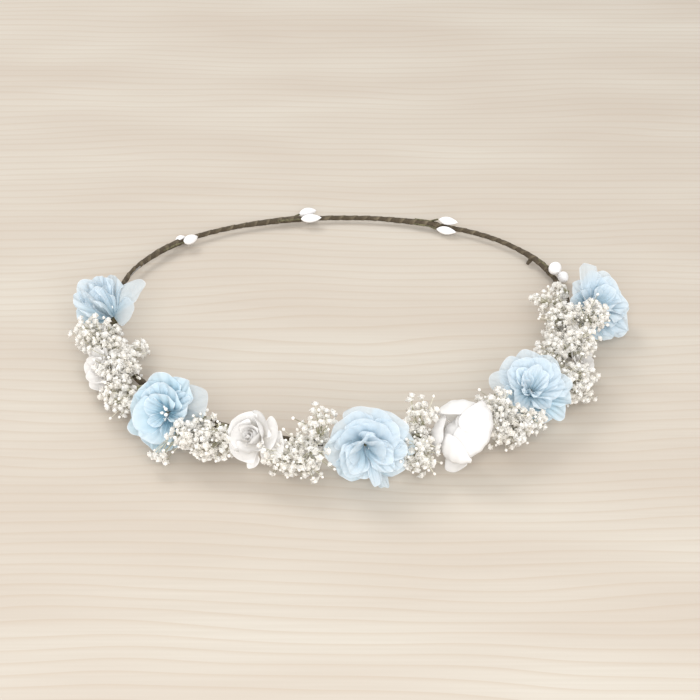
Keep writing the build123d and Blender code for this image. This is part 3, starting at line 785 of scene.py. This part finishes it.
# %% Rods and lathed shapes
def rod(line, radius, sides, **values):
    """A round rod along points, whose radius may change along it, closed to a point at the end."""
    line = np.asarray(line, float)
    step = np.gradient(line, axis=0)
    step /= np.linalg.norm(step, axis=1)[:, None]
    chord = line[-1] - line[0]
    helper = np.eye(3)[np.argmin(np.abs(chord))]
    first = np.cross(step, helper)
    first /= np.linalg.norm(first, axis=1)[:, None]
    second = np.cross(step, first)
    girth = np.linspace(0, 2 * np.pi, sides + 1)[:-1]
    ring = np.cos(girth)[:, None] * first[:, None] + np.sin(girth)[:, None] * second[:, None]
    radius = np.broadcast_to(radius, len(line))[:, None, None]
    run = np.concatenate([[0], np.cumsum(np.linalg.norm(np.diff(line, axis=0), axis=1))]) / 10
    u, v = np.meshgrid(np.linspace(0, 2 * np.pi * radius.mean() / 10, sides + 1), run)
    return Grid(line[:, None] + radius * ring, np.stack([u, v], -1), around=True, **values)


def bend(start, middle, end, count):
    """Points of the curve start (1-s)^2 + 2 middle s(1-s) + end s^2."""
    s = np.linspace(0, 1, count)[:, None]
    return start * (1 - s) ** 2 + 2 * middle * s * (1 - s) + end * s**2


def lathed(foot, axis, length, radius, rows, sides, power, **values):
    """A teardrop on an axis: radius * sin(pi s^power)^0.75 at the share s of its length."""
    s = (1 - np.cos(np.linspace(0, np.pi, rows))) / 2
    line = foot + np.asarray(axis)[None] * length * s[:, None]
    girth = radius * np.sin(np.pi * np.clip(s, 1e-4, 1 - 1e-4) ** power) ** 0.75
    return rod(line, girth, sides, **values)


# %% Stamens of every bloom
STAMEN_COUNT = 5
THREAD_RADIUS, BEAD_LENGTH, BEAD_RADIUS = 0.18, 1.9, 0.72
HEART_HEIGHT = {1: 0.25, 2: 0.50, 3: 0.22, 4: 0.22, 5: 0.28}


def stamens(number):
    """Threads from the heart's floor, each ending in a bead, spread a little as they rise.

    The first two stand as high as the heart and the others half as high.
    """
    head = Head(**BLOOMS[number])
    pick = np.random.default_rng(number)
    grids = []
    for turn in np.arange(STAMEN_COUNT) * 360 / STAMEN_COUNT + 20 * number:
        radial, _ = head.clock(np.asarray(float(turn)))
        foot = head.base + radial * 0.5 + head.facing * 0.12 * head.radius
        tall = head.radius * HEART_HEIGHT[number] * (1.0 if len(grids) < 4 else 0.5)
        tip = head.base + radial * pick.uniform(1.3, 2.3) + head.facing * tall
        line = bend(foot, (foot + tip) / 2 - radial * 0.4, tip, 7)
        aim = line[-1] - line[-2]
        aim /= np.linalg.norm(aim)
        bead = lathed(tip - 0.3 * aim, aim, BEAD_LENGTH, BEAD_RADIUS, 8, 10, 1.0)
        grids += [rod(line, THREAD_RADIUS, 6), bead]
    return grids


def pearl_finish(name, colour, roughness):
    """A pearly dip: creamy, softly shining, faintly uneven."""
    finish = Finish(name)
    cloud = finish.noise(finish.place(), 420.0, detail=2.0)
    shade = tuple(0.93 * channel for channel in colour[:3]) + (1,)
    dipped = finish.principled(
        Base_Color=finish.mix(finish.spread(cloud, 0.4, 0.65), colour, shade),
        Roughness=roughness, Coat_Weight=0.25, Coat_Roughness=0.3,
        Normal=finish.bump(cloud, 0.12, 0.4),
    )
    return finish.surface(dipped)


PEARL = pearl_finish("stamen_pearl", (0.90, 0.885, 0.86, 1), 0.38)
all_stamens = [grid for number in BLOOMS for grid in stamens(number)]
make_piece("stamens", all_stamens, PEARL, ["bloom_stamens"])

# %% [markdown]
# ## Paper roses
# A paper rose starts as a strip rolled into a tight spiral, and petals are glued round it that
# close over the heart; the outermost open up and their rims are rolled back over a needle. The
# paper is smooth and matte; its colour carries painted shade, creamy and darker, in the folds
# towards each petal's foot, a painted grey line of shade just inside each rim, and a painted
# highlight on the rim itself. It is the same kind of formula as a chiffon petal, only with a
# deeper cross-section, hardly any frill, and a rim that curls.

# %% Paper finish
def paper_finish():
    """Smooth matte paper, with painted shade in the folds, a painted shade line just inside the
    rim and a painted highlight on the rim.
    """
    finish = Finish("rose_paper")
    reach, edge = finish.own("reach"), finish.own("edge")
    fibre = finish.noise(finish.cloth(along=2.0, across=9.0), 6.0, detail=4.0)
    soft = finish.noise(finish.cloth(), 1.8, detail=1.0)
    # Painted shade: the paper is darker and creamier towards each petal's foot, where the folds
    # are.
    depth = finish.spread(reach + 0.2 * (soft - 0.5), 0.0, 0.6)
    colour = finish.mix(depth, (0.75, 0.72, 0.66, 1), (0.845, 0.835, 0.825, 1))
    # Painted shade: a grey band just inside each rim, where petals overlap.
    colour = finish.mix(finish.spread(edge, 1.6, 0.5, 0.0, 0.35), colour, (0.7, 0.695, 0.69, 1))
    # Painted highlight: a pale line along the rim itself.
    colour = finish.mix(finish.spread(edge, 0.45, 0.2), colour, (0.88, 0.87, 0.86, 1))
    normal = finish.bump(fibre + 2.0 * soft, 0.16, 0.8)
    paper = finish.principled(Base_Color=colour, Roughness=0.8, Normal=normal)
    return finish.surface(finish.translucent(paper, colour, 0.3, Normal=normal))


PAPER = paper_finish()


# %% Petals of every rose
def paper(azimuth, length, half, opening, cup, **values):
    """A paper petal: as a chiffon one, but smooth, with a rim that curls outwards."""
    plain = dict(frill=0.22, pleat=0.05, start=0.8, curl=45, roll=8.0, seed=int(azimuth) % 97)
    made = dict(azimuth=azimuth, length=length, half=half, opening=opening, cup=cup)
    return made | plain | values


ROLL_TURNS, ROLL_HEIGHT, ROLL_START = 2.3, 0.62, 0.5
ROLL_ROWS, ROLL_COLUMNS = 9, 70


def spiral(head):
    """The rolled strip in a rose's heart: its radius grows with the turn, and its rim tilts.

    The height is in head radii and the start is the roll's inner radius in millimetres.
    """
    s = np.linspace(0, 1, ROLL_ROWS)[:, None]
    t = np.linspace(0, 1, ROLL_COLUMNS)[None, :]
    reach = ROLL_START + 0.24 * head.radius * t**0.9 * (0.75 + 0.35 * s - 0.25 * s**2)
    radial, _ = head.clock(360 * ROLL_TURNS * t + 40 + 0 * s)
    up = head.radius * (0.10 + (ROLL_HEIGHT - 0.14 * t + 0.03 * np.sin(9 * t)) * s)
    points = head.base + radial * reach[..., None] + head.facing * up[..., None]
    flat = [t * 0.9 * ROLL_TURNS * 2 + 0 * s, s * ROLL_HEIGHT * head.radius / 10 + 0 * t]
    edge = (1 - s) * head.radius * ROLL_HEIGHT + 0 * t
    return Grid(points, np.stack(flat, -1), reach=s + 0 * t, edge=edge, tone_and_painted_shade=0.5 + 0 * s * t)


DOME = dict(curl=0, frill=0.7, pleat=0.35, wrap=1.0)
ROSE_LAYERS = {
    1: dict(
        outer=[paper(a, 9.5, 6.2, (74, 36), 0.9, curl=25) for a in (20, 95, 165, 240, 310)]
        + [paper(275, 12.0, 5.0, (78, 84), 0.5, curl=10, frill=0.4)],
        inner=[paper(a, 9.0, 5.6, (58, -4), 1.3, start=0.6, curl=14) for a in (60, 180, 300)],
    ),
    2: dict(
        outer=[paper(a, 12.0, 8.2, (80, -6), 1.0, curl=16) for a in (200, 285)]
        + [
            paper(-62, 11.0, 7.6, (80, 10), 1.0, curl=16),
            paper(14, 10.8, 7.8, (80, 14), 1.0, curl=16),
            paper(92, 14.0, 6.6, (84, 62), 0.5, curl=14, frill=0.4, sweep=-0.05),
            paper(58, 12.0, 7.0, (80, 48), 0.6, curl=16, lift=0.2),
            paper(152, 11.8, 3.4, (84, 70), 2.3, curl=-10, sweep=0.14, lift=-0.2),
        ],
        inner=[paper(a, 11.0, 7.0, (66, -16), 1.35, start=0.6, curl=16) for a in (35, 155, 265)]
        + [paper(a, 9.8, 5.0, (44, -14), 1.6, start=0.5, curl=14) for a in (100, 330)],
    ),
    3: dict(
        outer=[
            paper(100, 32.0, 12.0, (80, -104), 1.15, squash=0.54, roll=2, **DOME),
            paper(165, 33.5, 9.6, (80, -100), 1.0, squash=0.54, roll=8, **DOME),
            paper(38, 35.5, 9.6, (80, -96), 1.0, squash=0.54, roll=9, **DOME),
            paper(235, 34.5, 10.0, (80, -94), 1.05, squash=0.54, roll=6, **DOME),
            paper(310, 34.5, 10.4, (80, -90), 1.05, squash=0.54, roll=6, **DOME),
            paper(176, 15.0, 5.4, (92, 98), 0.5, curl=8, roll=0),
        ],
        inner=[
            paper(a, 24.0, 9.0, (76, -108), 1.3, start=0.6, squash=0.60, **DOME)
            for a in (20, 130, 250)
        ],
    ),
    4: dict(
        outer=[paper(a, 9.6, 6.2, (74, 34), 0.9, curl=20) for a in (25, 95, 170, 240, 305)],
        inner=[paper(a, 8.6, 5.4, (56, -4), 1.35, start=0.6, curl=14) for a in (70, 190, 310)],
    ),
}


for number, parts in ROSE_LAYERS.items():
    head, rose = Head(**ROSES[number]), f"rose_{number}"
    opened = [petal(head, **values) for values in parts["outer"]]
    rolled = [petal(head, **values) for values in parts["inner"]] + [spiral(head)]
    make_piece(f"{rose}_open_petals", opened, PAPER, [f"{rose}_outer_petals"])
    make_piece(f"{rose}_rolled_heart", rolled, PAPER, [f"{rose}_heart"])

# %% [markdown]
# ## Pip buds
# A pip bud is a blown drop of white lacquer on a wire: a narrow neck, a full belly and a blunt
# tip. Each is a lathed drop. The tape that binds its wire is part of the wound band.

# %% Buds beside the band
BUD_GAP = 0.25
BUD_ROWS, BUD_SIDES = 22, 20
BUD_PAIRS = {
    1: dict(angle=131.0, buds=[(155, 0, 7.6, 2.1), (-15, 0, 5.6, 1.8)]),
    2: dict(angle=98.0, buds=[(10, 14, 8.2, 2.1), (150, 4, 9.2, 1.9)]),
    3: dict(angle=71.0, buds=[(90, 0, 8.6, 1.8), (180, 0, 8.8, 1.8)]),
    4: dict(angle=20.0, buds=[(90, 4, 6.1, 2.85), (-12, 8, 5.6, 2.5)]),
}


def bud(angle, side, rise, length, radius):
    """A drop beside the band, at a side of it counted from straight out, tip clockwise."""
    place, out, along, up = station(angle)
    turn, lift = math.radians(side), math.radians(rise)
    beside_band = math.cos(turn) * out + math.sin(turn) * up
    neck = place + beside_band * (TAPE_RADIUS + radius + BUD_GAP)
    aim = -along * math.cos(lift) + beside_band * math.sin(lift)
    drop = lathed(neck, aim, length, radius, BUD_ROWS, BUD_SIDES, 0.86)
    spots = np.arange(float(BUD_ROWS))[:, None] + 7 * np.arange(float(BUD_SIDES))[None]
    dent = 1 + 0.03 * waves(spots, int(angle + side))
    middle = drop.points.mean(1, keepdims=True)
    drop.points = middle + (drop.points - middle) * dent[..., None]
    return drop


LACQUER = pearl_finish("bud_lacquer", (0.885, 0.875, 0.885, 1), 0.32)
for number, pair in BUD_PAIRS.items():
    drops = [bud(pair["angle"], *values) for values in pair["buds"]]
    make_piece(f"bud_pair_{number}", drops, LACQUER, [f"bud_pair_{number}_buds"])

# %% [markdown]
# ## Baby's breath
# Dried baby's breath is a cloud of hundreds of tiny double florets, each a crumpled knot of
# petals two or three millimetres across, with closed buds like beads between them. Its stems
# fork again and again: a bound stem, a few branches, then a hair-thin stalk to each floret. The
# clouds are grown here from that rule. An open floret has only fifty faces and a closed one
# thirty, because there are about two thousand of them and each is so small.

# %% Florets and stalks
FLORET_SIDES = 10
FLORET_LAYERS = (  # reach and height of each ring of points, as shares of the floret's size
    ((0.14, 0.6, 1.0, 1.12), (-0.6, -0.3, 0.0, 0.3)),
    ((0.2, 0.66, 0.72), (-0.05, 0.25, 0.68)),
)
LOBES, CRUMPLING = 0.26, 0.26


def floret(place, axis, size, pick):
    """A crumpled double floret: a lobed outer cup and a tighter one inside it."""
    helper = np.eye(3)[np.argmin(np.abs(axis))]
    first = np.cross(axis, helper)
    first /= np.linalg.norm(first)
    second = np.cross(axis, first)
    grids = []
    for reach, height in FLORET_LAYERS:
        rows = len(reach)
        girth = np.linspace(0, 2 * np.pi, FLORET_SIDES + 1)[:-1] + pick.uniform(0, 1)
        lobes = np.where(np.arange(FLORET_SIDES) % 2, 1.0, -1.0)[None, :]
        growth = np.linspace(0, 1, rows)[:, None]
        crumple = pick.uniform(-CRUMPLING, CRUMPLING, (2, rows, FLORET_SIDES)) * growth
        wide = size * (np.array(reach)[:, None] * (1 + LOBES * lobes * growth) + crumple[0])
        high = size * (np.array(height)[:, None] - 0.2 * lobes * growth + crumple[1])
        ring = np.cos(girth)[:, None] * first + np.sin(girth)[:, None] * second
        points = place + wide[..., None] * ring[None] + high[..., None] * axis
        uv = np.zeros((rows, FLORET_SIDES + 1, 2))
        grids.append(Grid(points, uv, around=True, reach=growth + 0 * wide))
    return grids


def closed_bud(place, axis, size, pick):
    """A closed bud: a bead with a slightly pointed foot. It draws nothing from pick."""
    reach = np.linspace(0.05, 1, 6)[:, None]
    return [lathed(place - axis * size, axis, 2.1 * size, size, 6, 6, 0.9, reach=reach)]


def outside_heads(points):
    """True for points outside the thick middle of every bloom and rose."""
    clear = np.ones(len(points), bool)
    for values in (*BLOOMS.values(), *ROSES.values()):
        head = Head(**values)
        local = points - head.base - head.facing * 0.28 * head.radius
        deep = local @ head.facing
        wide = np.linalg.norm(local - deep[:, None] * head.facing, axis=1)
        clear &= (wide / (0.80 * head.radius)) ** 2 + (deep / (0.48 * head.radius)) ** 2 > 1
    return clear


FLORET_APART = 1.55
LOWEST_FLORET = 1.6
CLOUD_ROUNDS = TRIES = 60
STRAY_SHARE = 0.14  # of the points, which stand out beyond the ball


def cloud(middle, spans, directions, count, pick):
    """Points in a ball stretched by spans, none closer than FLORET_APART to another."""
    kept = np.empty((0, 3))
    for _ in range(CLOUD_ROUNDS):
        tries = pick.normal(size=(TRIES, 3))
        tries /= np.linalg.norm(tries, axis=1)[:, None]
        tries *= pick.uniform(0.1, 1.0, (TRIES, 1)) ** 0.5
        strays = pick.uniform(size=(TRIES, 1)) < STRAY_SHARE
        tries *= np.where(strays, pick.uniform(1.1, 1.5, (TRIES, 1)), 1.0)
        points = middle + (tries * spans) @ directions
        points = points[(points[:, 2] > LOWEST_FLORET) & outside_heads(points)]
        for point in points:
            if len(kept) == 0 or np.linalg.norm(kept - point, axis=1).min() > FLORET_APART:
                kept = np.vstack([kept, point])
            if len(kept) >= count:
                return kept
    return kept


# A tuft: ring angle, (out, up) from the wire, half spans out, along and up, and how many florets.
TUFTS = {
    1: [
        (-161.5, (7.0, 7.4), (9.5, 9.0, 6.5), 150), (-154.0, (5.0, 7.0), (7.0, 6.0, 5.0), 60),
        (-156.2, (-7.2, 1.8), (5.0, 5.0, 3.5), 12),
    ],
    2: [
        (-147.6, (7.4, 6.4), (7.6, 8.5, 5.6), 120), (-140.6, (13.0, 2.4), (6.5, 6.5, 5.0), 85),
    ],
    3: [
        (-122.2, (10.4, 3.2), (8.0, 8.5, 6.0), 125), (-116.2, (11.3, 1.4), (7.5, 9.0, 6.0), 130),
        (-124.5, (23.5, -3.0), (2.4, 5.0, 2.0), 10),
    ],
    4: [
        (-98.8, (10.6, 1.0), (7.5, 12.0, 6.5), 165), (-94.8, (0.5, 11.0), (6.5, 7.5, 5.5), 30),
        (-96.0, (2.5, 4.0), (4.0, 7.0, 4.0), 45),
    ],
    5: [
        (-74.2, (11.2, 0.9), (6.5, 7.5, 6.5), 92), (-71.8, (0.2, 11.2), (6.5, 7.5, 6.0), 30),
        (-73.0, (3.0, 4.0), (4.0, 6.0, 4.0), 34),
    ],
    6: [
        (-54.2, (14.2, 3.0), (7.0, 8.5, 6.5), 125), (-54.8, (7.2, 9.0), (7.5, 8.0, 6.5), 80),
        (-49.0, (15.0, 4.0), (5.0, 6.0, 4.0), 34),
    ],
    7: [
        (-33.8, (12.9, 2.6), (7.5, 9.0, 7.0), 140), (-25.8, (-0.1, 5.1), (8.0, 9.0, 6.0), 135),
        (-25.0, (9.0, 11.0), (6.0, 6.0, 4.5), 65),
    ],
    8: [
        (-14.5, (-1.2, 7.8), (8.5, 9.0, 7.0), 175), (-3.2, (-10.8, 6.5), (5.5, 6.0, 4.5), 34),
        (-14.2, (9.3, 12.0), (6.5, 6.5, 5.5), 70), (4.6, (-3.0, 3.0), (3.4, 5.6, 2.6), 30),
    ],
}


BRANCHES = 9
KNOT_SHARE = 0.58  # of the way from the fork to a floret, where a branch ends in a knot
BRANCH_RADII = (0.34, 0.3, 0.27, 0.24, 0.2)
STALK_RADIUS = 0.13
CLOSED_SHARE = 0.27
OPEN_SIZES, CLOSED_SIZES = (0.95, 1.35), (0.5, 0.72)


def sprig(number, tufts):
    """One sprig: its florets' grids and its stalks' grids.

    Branches run from the tuft's fork to knots, and a stalk runs to each floret from the nearest.
    """
    pick = np.random.default_rng(700 + number)
    flowers, stalks = [], []
    for angle, (out_by, up_by), spans, count in tufts:
        place, out, along, up = station(angle)
        directions = np.stack([out, along, up])
        middle = place + out * out_by + up * up_by
        fork = place + 2.2 * (0.3 * out + 0.95 * up) + along * pick.uniform(-1, 1)
        points = cloud(middle, np.array(spans), directions, count, pick)
        leading = points[:: max(1, len(points) // BRANCHES)][:BRANCHES]
        knots = fork + (leading - fork) * KNOT_SHARE
        for knot in knots:
            bulge = (fork + knot) / 2 + up * 1.2 + pick.normal(size=3) * 0.6
            stalks.append(rod(bend(fork, bulge, knot, 5), BRANCH_RADII, 4, tint=0.2))
        for point in points:
            knot = knots[np.argmin(np.linalg.norm(knots - point, axis=1))]
            closed = pick.uniform() < CLOSED_SHARE
            grown = point + (point - middle) * (pick.uniform(0.05, 0.45) if closed else 0.0)
            grown[2] = max(grown[2], 1.2)
            axis = grown - knot + pick.normal(size=3) * 1.0 + up * 1.2
            axis /= np.linalg.norm(axis)
            size = pick.uniform(*(CLOSED_SIZES if closed else OPEN_SIZES))
            flowers += (closed_bud if closed else floret)(grown, axis, size, pick)
            foot = grown - axis * size * 0.7
            bulge = (knot + foot) / 2 - axis * 0.8 + pick.normal(size=3) * 0.5
            stalk = bend(knot, bulge, foot, 5)
            stalks.append(rod(stalk, STALK_RADIUS, 3, tint=pick.uniform(0, 1)))
    return flowers, stalks


# %% Finishes of florets and stalks
def floret_finish():
    """Dried petals: white, creamier in places, green at the very foot, and thin to light."""
    finish = Finish("floret")
    drift = finish.noise(finish.place(), 260.0, detail=1.0)
    cream, white = (0.95, 0.925, 0.88, 1), (0.985, 0.98, 0.965, 1)
    aged = finish.mix(finish.spread(drift, 0.3, 0.7), cream, white)
    foot = finish.spread(finish.own("reach"), 0.0, 0.04)
    colour = finish.mix(foot, (0.42, 0.43, 0.24, 1), aged)
    matte = finish.principled(Base_Color=colour, Roughness=0.85)
    return finish.surface(finish.translucent(matte, colour, 0.45))


def stalk_finish():
    """Dry stems, each somewhere between dark olive and straw by its own tint."""
    finish = Finish("stalk")
    colour = finish.mix(finish.own("tint"), (0.2, 0.19, 0.1, 1), (0.78, 0.75, 0.62, 1))
    return finish.surface(finish.principled(Base_Color=colour, Roughness=0.75))


FLORET, STALK = floret_finish(), stalk_finish()
for number, tufts in TUFTS.items():
    flowers, stalks = sprig(number, tufts)
    make_piece(f"sprig_{number}_flowers", flowers, FLORET, [f"sprig_{number}_florets"])
    make_piece(f"sprig_{number}_stalks", stalks, STALK, [f"sprig_{number}_stems"])

# %% [markdown]
# ## Stems, wire and the tape's loose end
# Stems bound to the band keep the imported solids, with their own finishes: taped brown like the
# band. The tape's loose end is a short tongue, pinched flat and bent over.

# %% Stems and wire
def plain_finish(name, dark, light, roughness, scale, metallic=0.0):
    """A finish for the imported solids, which have no cloth UVs: it varies by place instead."""
    finish = Finish(name)
    grain = finish.noise(finish.place(), scale, detail=3.0)
    colour = finish.mix(finish.spread(grain, 0.35, 0.65), dark, light)
    normal = finish.bump(grain, 0.15, 0.6)
    return finish.surface(
        finish.principled(Base_Color=colour, Roughness=roughness, Metallic=metallic, Normal=normal)
    )


STEM = plain_finish("taped_stem", (0.045, 0.04, 0.02, 1), (0.15, 0.135, 0.07, 1), 0.85, 900.0)
WIRE = plain_finish("steel_wire", (0.35, 0.35, 0.36, 1), (0.5, 0.5, 0.5, 1), 0.35, 500.0, 1.0)
dressed = {f"bloom_{n}_stem": (STEM, "stem_tape") for n in BLOOMS}
dressed |= {f"rose_{n}_stem": (STEM, "stem_tape") for n in ROSES}
dressed |= {f"bud_pair_{n}_stems": (STEM, "stem_tape") for n in BUD_PAIRS}
dressed["wire_core"] = (WIRE, "wire")
for name, (material, record_slot) in dressed.items():
    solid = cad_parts[name]
    for held in solid.material_slots:
        held.link = "OBJECT"
        held.material = material
print("dressed", len(dressed), "packed solids")


# %% Loose end of the tape
END_ANGLE, END_SIDE = 33.5, 215
END_LENGTH, END_HALF_WIDTH, END_HALF_THICKNESS = 2.4, 1.25, 0.26
END_ROWS, END_GIRTH = 9, 15


def loose_end():
    """A flat tongue of tape off the band's inner side, bent over at its tip."""
    place, out, along, up = station(END_ANGLE)
    turn = math.radians(END_SIDE)
    away = math.cos(turn) * out + math.sin(turn) * up
    s = np.linspace(0, 1, END_ROWS)[:, None]
    girth = np.linspace(0, 2 * np.pi, END_GIRTH)[None, :-1]
    across = np.cos(girth)
    wide = END_HALF_WIDTH * (1 - 0.35 * s**2) * np.sign(across) * np.abs(across) ** 0.7
    thick = END_HALF_THICKNESS * np.sin(girth) + 0 * s
    droop = 0.8 * s**2 + 0.25 * np.sin(5 * s)
    points = (
        place + away * (0.7 + END_LENGTH * s + 0 * girth)[..., None] + along * wide[..., None]
        + up * (thick - droop)[..., None]
    )
    u, v = np.meshgrid(np.linspace(0, 0.5, END_GIRTH), s[:, 0] * 0.24)
    return Grid(points, np.stack([u, v], -1), around=True, ridge=s * 0.5)


make_piece("tape_end", [loose_end()], TAPE, ["tape_tail"])

# %% [markdown]
# ## Floor, light and camera
# The crown lies on pale wood in soft daylight: an even sky all round, a broad light in front and
# a weaker one behind it, so the shadows under the heads are faint. The camera stands in front
# and looks down at the ring through a long lens, which keeps the blooms' sizes comparable.

# %% Floor
def floor_finish():
    """Pale wood: thin year lines that wander along X, over a fine grain and broad clouds."""
    finish = Finish("pale_wood")
    place = finish.place()
    drift = finish.noise(finish.stretched(place, (3.2, 7.0, 1)), 1.0, detail=2.0)
    fine = finish.noise(finish.stretched(place, (9, 420, 1)), 1.6, detail=3.0)
    broad = finish.noise(finish.stretched(place, (4, 14, 1)), 1.4, detail=2.0)
    across = finish.node("ShaderNodeSeparateXYZ", None, {0: place}, out=1)
    years = 175.0 * across + 7.0 * drift + 2.5 * broad
    line = years.sum("FRACT", years) ** 3.0
    dark, light = (0.475, 0.42, 0.36, 1), (0.525, 0.485, 0.425, 1)
    colour = finish.mix(finish.spread(broad, 0.35, 0.68), dark, light)
    colour = finish.mix(finish.spread(line, 0.25, 1.0, 0.0, 0.42), colour, (0.42, 0.33, 0.245, 1))
    colour = finish.mix(finish.spread(fine, 0.35, 0.7, 0.0, 0.25), colour, (0.43, 0.375, 0.31, 1))
    return finish.surface(finish.principled(Base_Color=colour, Roughness=0.85))


FLOOR_SIZE = 6.0
bpy.ops.mesh.primitive_plane_add(size=FLOOR_SIZE, location=(0, 0, 0))
FLOOR = bpy.context.object
FLOOR.name = "floor"
FLOOR.data.materials.append(floor_finish())

# %% Light
world = bpy.data.worlds.new("soft_studio")
world.use_nodes = True
sky = world.node_tree.nodes["Background"].inputs
sky["Color"].default_value = (1.0, 0.99, 0.975, 1)
sky["Strength"].default_value = 0.80
bpy.context.scene.world = world
bpy.context.scene.view_settings.view_transform = "Standard"


def softbox(name, place, size, power, colour):
    """A square area light that looks at the origin, sizes in metres."""
    light = bpy.data.lights.new(name, "AREA")
    light.size, light.energy, light.color = size, power, colour
    lamp = bpy.data.objects.new(name, light)
    bpy.context.scene.collection.objects.link(lamp)
    x, y, z = (0 - part for part in place)
    lamp.location = place
    lamp.rotation_euler = (math.atan2(math.hypot(x, y), -z), 0, math.atan2(y, x) - math.pi / 2)


softbox("key", (-0.55, 0.75, 1.1), 0.7, 8.0, (1.0, 0.99, 0.97))
softbox("fill", (0.05, -1.1, 0.75), 1.0, 19.0, (1.0, 0.995, 0.99))

# %% Camera
CAMERA_RISE = math.radians(36)
CAMERA_DISTANCE = 0.672
CAMERA_SLIDE = (0.0038, -0.0079)
camera = bpy.data.cameras.new("camera")
camera.lens, camera.sensor_width = 85, 36
eye = bpy.data.objects.new("camera", camera)
bpy.context.scene.collection.objects.link(eye)
ahead = np.array([0, math.cos(CAMERA_RISE), -math.sin(CAMERA_RISE)])
upward = np.array([0, math.sin(CAMERA_RISE), math.cos(CAMERA_RISE)])
sideways = np.array([CAMERA_SLIDE[0], 0, 0])
eye.location = -ahead * CAMERA_DISTANCE + sideways + upward * CAMERA_SLIDE[1]
eye.rotation_euler = (math.pi / 2 - CAMERA_RISE, 0, 0)
bpy.context.scene.camera = eye
